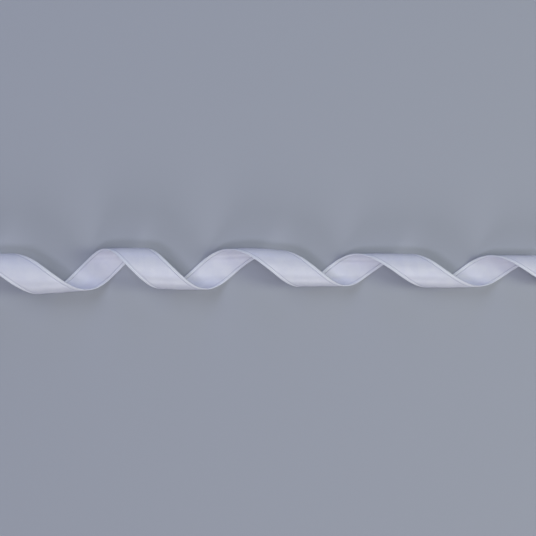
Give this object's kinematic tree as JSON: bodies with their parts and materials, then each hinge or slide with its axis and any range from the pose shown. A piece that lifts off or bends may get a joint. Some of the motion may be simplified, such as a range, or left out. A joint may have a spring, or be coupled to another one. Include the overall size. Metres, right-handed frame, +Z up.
{
  "type": "length of satin ribbon in a loose corkscrew",
  "caption": "Cut length of pale double-faced satin ribbon lying in a loose corkscrew, with a woven selvage on each edge.",
  "frame": {"origin": "middle of the bounding box, on the surface that the ribbon lies on", "axes": "+X along the coil, to the picture's right; +Y to the picture's upper side; +Z up, towards the camera"},
  "size_m": [0.2498, 0.0346, 0.0101],
  "materials": {
    "satin": "satin"
  },
  "bodies": {
    "root": {"ribbon": "satin"}
  },
  "joints": []
}
